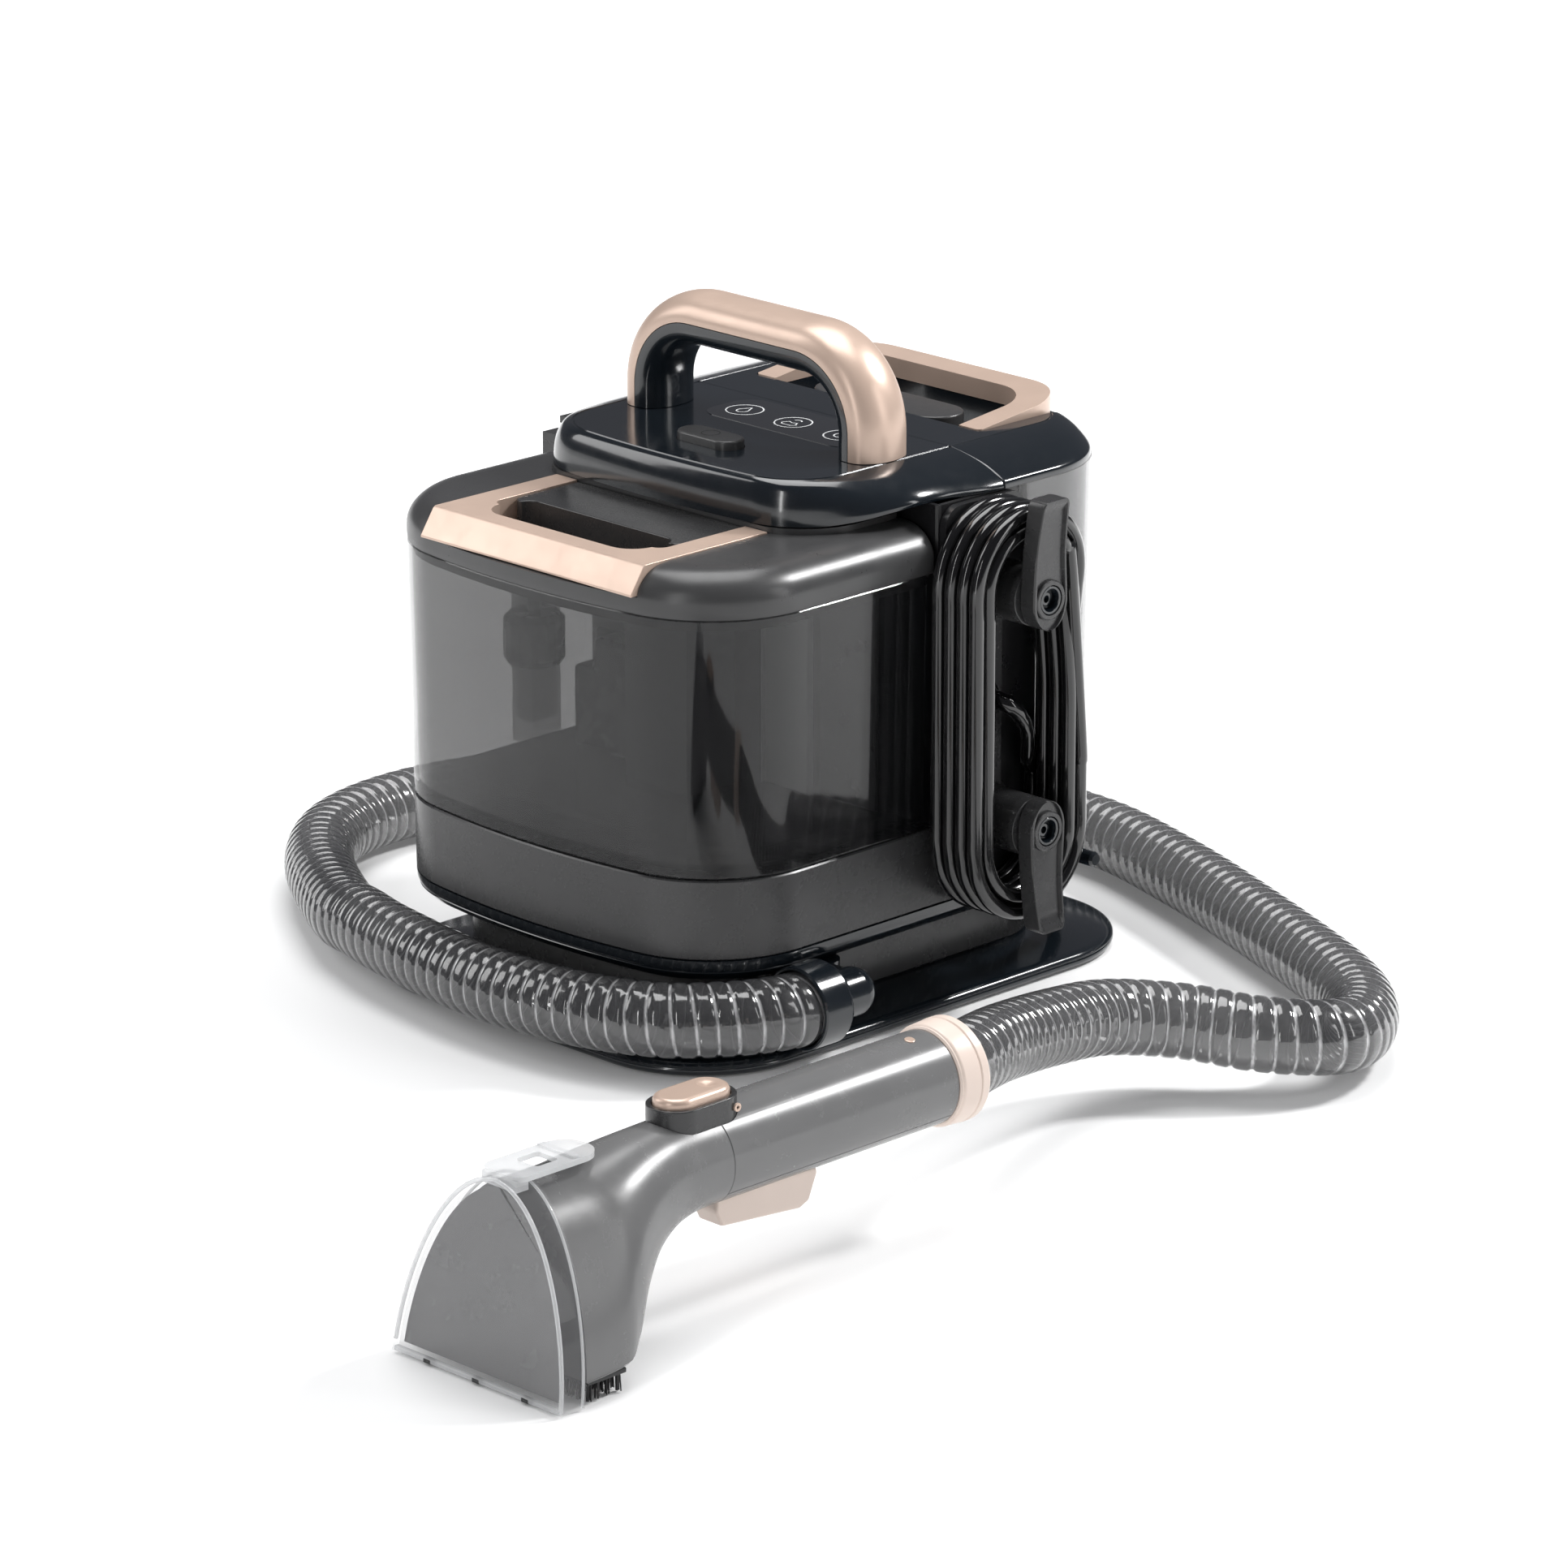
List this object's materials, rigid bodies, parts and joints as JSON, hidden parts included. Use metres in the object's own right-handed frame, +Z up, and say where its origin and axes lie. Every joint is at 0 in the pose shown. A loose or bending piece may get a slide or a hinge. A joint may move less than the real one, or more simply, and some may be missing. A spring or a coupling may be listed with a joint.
{
  "type": "portable carpet cleaner",
  "caption": "Portable carpet and upholstery cleaner with lift-out water tanks, carry handle, side cord wrap, suction hose and hand tool.",
  "frame": {"origin": "centre of the base's flat underside, on the floor", "axes": "+Z up; -Y is the front with the dirty water tank, +Y the back with the clean water tank; +X is the side with the cord wrap"},
  "size_m": [0.6278, 0.6988, 0.3227],
  "materials": {
    "base_plate": "gloss navy moulded plastic",
    "foot_front_left": "matt black rubber",
    "foot_front_right": "matt black rubber",
    "foot_back_left": "matt black rubber",
    "foot_back_right": "matt black rubber",
    "pedestal": "satin dark grey moulded plastic",
    "lower_skirt": "gloss navy moulded plastic",
    "lower_body": "satin dark grey moulded plastic",
    "column_shell": "satin dark grey moulded plastic",
    "cord_panel": "satin dark grey moulded plastic",
    "upper_cord_hook": "satin dark grey moulded plastic",
    "lower_cord_hook": "satin dark grey moulded plastic",
    "upper_hook_pin": "gloss navy moulded plastic",
    "lower_hook_pin": "gloss navy moulded plastic",
    "cord_coil": "glossy black cord jacket",
    "cord_gland": "matt black rubber",
    "power_cord_lead": "glossy black cord jacket",
    "power_cord_tail": "glossy black cord jacket",
    "power_plug": "glossy black cord jacket",
    "hose_peg": "gloss navy moulded plastic",
    "dirty_tank_shell": "smoky clear plastic",
    "dirty_tank_seal": "matt black rubber",
    "intake_duct": "plain grey plastic",
    "shutoff_float": "pale rose plastic",
    "dirty_tank_lid": "satin dark grey moulded plastic",
    "tank_grip_trim": "rose gold lacquered plastic",
    "tank_latch": "satin dark grey moulded plastic",
    "top_cover": "gloss navy moulded plastic",
    "control_panel": "black gloss plastic",
    "control_board": "green circuit board",
    "power_button": "satin mid grey moulded plastic",
    "button_spring": "bright steel",
    "handle_upper": "rose gold lacquered plastic",
    "handle_lower": "gloss navy moulded plastic",
    "clean_tank_shell": "smoky clear plastic",
    "outlet_valve": "plain grey plastic",
    "valve_poppet": "matt black rubber",
    "clean_tank_lid": "gloss navy moulded plastic",
    "tank_grip_ring": "rose gold lacquered plastic",
    "filler_cap": "satin mid grey moulded plastic",
    "vacuum_motor": "plain grey plastic",
    "fan_housing": "plain grey plastic",
    "fan_impeller": "bright steel",
    "water_pump": "plain grey plastic",
    "heater_block": "bright steel",
    "air_duct": "plain grey plastic",
    "tool_holder": "satin dark grey moulded plastic",
    "suction_hose": "smoky clear plastic",
    "hose_elbow": "gloss navy moulded plastic",
    "hose_cuff": "gloss navy moulded plastic",
    "nozzle_cover": "clear plastic",
    "nozzle_body": "satin mid grey moulded plastic",
    "barrel_upper_shell": "satin mid grey moulded plastic",
    "barrel_lower_shell": "satin mid grey moulded plastic",
    "release_housing": "satin mid grey moulded plastic",
    "release_button": "rose gold lacquered plastic",
    "trigger": "pale rose plastic",
    "trigger_valve": "plain grey plastic",
    "tool_collar": "pale rose plastic",
    "nozzle_brush": "black nylon bristle"
  },
  "bodies": {
    "machine": {"base_plate": "base_plate", "foot_front_left": "foot_front_left", "foot_front_right": "foot_front_right", "foot_back_left": "foot_back_left", "foot_back_right": "foot_back_right", "pedestal": "pedestal", "lower_skirt": "lower_skirt", "lower_body": "lower_body", "column_shell": "column_shell", "cord_panel": "cord_panel", "upper_hook_pin": "upper_hook_pin", "lower_hook_pin": "lower_hook_pin", "cord_coil": "cord_coil", "cord_gland": "cord_gland", "power_cord_lead": "power_cord_lead", "power_cord_tail": "power_cord_tail", "power_plug": "power_plug", "hose_peg": "hose_peg", "top_cover": "top_cover", "control_panel": "control_panel", "control_board": "control_board", "button_spring": "button_spring", "handle_upper": "handle_upper", "handle_lower": "handle_lower", "vacuum_motor": "vacuum_motor", "fan_housing": "fan_housing", "water_pump": "water_pump", "heater_block": "heater_block", "air_duct": "air_duct", "tool_holder": "tool_holder", "suction_hose": "suction_hose", "hose_elbow": "hose_elbow", "hose_cuff": "hose_cuff", "nozzle_body": "nozzle_body", "barrel_upper_shell": "barrel_upper_shell", "barrel_lower_shell": "barrel_lower_shell", "release_housing": "release_housing", "trigger_valve": "trigger_valve", "tool_collar": "tool_collar", "nozzle_brush": "nozzle_brush"},
    "power_button": {"power_button": "power_button"},
    "dirty_tank": {"dirty_tank_shell": "dirty_tank_shell", "dirty_tank_seal": "dirty_tank_seal", "intake_duct": "intake_duct", "dirty_tank_lid": "dirty_tank_lid", "tank_grip_trim": "tank_grip_trim"},
    "tank_latch": {"tank_latch": "tank_latch"},
    "shutoff_float": {"shutoff_float": "shutoff_float"},
    "clean_tank": {"clean_tank_shell": "clean_tank_shell", "clean_tank_lid": "clean_tank_lid", "tank_grip_ring": "tank_grip_ring", "outlet_valve": "outlet_valve"},
    "filler_cap": {"filler_cap": "filler_cap"},
    "valve_poppet": {"valve_poppet": "valve_poppet"},
    "upper_cord_hook": {"upper_cord_hook": "upper_cord_hook"},
    "lower_cord_hook": {"lower_cord_hook": "lower_cord_hook"},
    "fan": {"fan_impeller": "fan_impeller"},
    "trigger": {"trigger": "trigger"},
    "release_button": {"release_button": "release_button"},
    "nozzle_cover": {"nozzle_cover": "nozzle_cover"}
  },
  "joints": [
    {"name": "power_button_press", "type": "slide", "parent": "machine", "child": "power_button", "axis": [0, 0, -1], "range_m": [0, 0.0018], "stiffness_N_per_m": 400, "deforming": ["button_spring"]},
    {"name": "dirty_tank_slide", "type": "slide", "parent": "machine", "child": "dirty_tank", "axis": [0, -1, 0], "range_m": [0, 0.15]},
    {"name": "tank_latch_lift", "type": "hinge", "parent": "dirty_tank", "child": "tank_latch", "pos_m": [0, -0.0593, 0.238], "axis": [-1, 0, 0], "range_deg": [0, 12], "stiffness_Nm_per_rad": 0.1},
    {"name": "float_rise", "type": "slide", "parent": "dirty_tank", "child": "shutoff_float", "axis": [0, 0, 1], "range_m": [0, 0.011]},
    {"name": "clean_tank_lift", "type": "slide", "parent": "machine", "child": "clean_tank", "axis": [0, 0, 1], "range_m": [0, 0.2]},
    {"name": "filler_cap_open", "type": "hinge", "parent": "clean_tank", "child": "filler_cap", "pos_m": [0, 0.108, 0.253], "axis": [-1, 0, 0], "range_deg": [0, 100]},
    {"name": "valve_lift", "type": "slide", "parent": "clean_tank", "child": "valve_poppet", "axis": [0, 0, 1], "range_m": [0, 0.003], "stiffness_N_per_m": 150},
    {"name": "upper_hook_turn", "type": "hinge", "parent": "machine", "child": "upper_cord_hook", "pos_m": [0.1604, 0.034, 0.206], "axis": [1, 0, 0], "range_deg": [0, 180]},
    {"name": "lower_hook_turn", "type": "hinge", "parent": "machine", "child": "lower_cord_hook", "pos_m": [0.1604, 0.034, 0.093], "axis": [1, 0, 0], "range_deg": [0, 180]},
    {"name": "fan_spin", "type": "hinge", "parent": "machine", "child": "fan", "pos_m": [0, 0.03, 0.05], "axis": [0, 0, 1], "continuous": true},
    {"name": "trigger_pull", "type": "hinge", "parent": "machine", "child": "trigger", "pos_m": [0.308, -0.3265, 0.0505], "axis": [1, 0, 0], "range_deg": [0, 6], "stiffness_Nm_per_rad": 0.3},
    {"name": "release_button_press", "type": "slide", "parent": "machine", "child": "release_button", "axis": [0, 0, -1], "range_m": [0, 0.0025], "stiffness_N_per_m": 400},
    {"name": "nozzle_cover_slide", "type": "slide", "parent": "machine", "child": "nozzle_cover", "axis": [0, -1, 0], "range_m": [0, 0.04]}
  ]
}
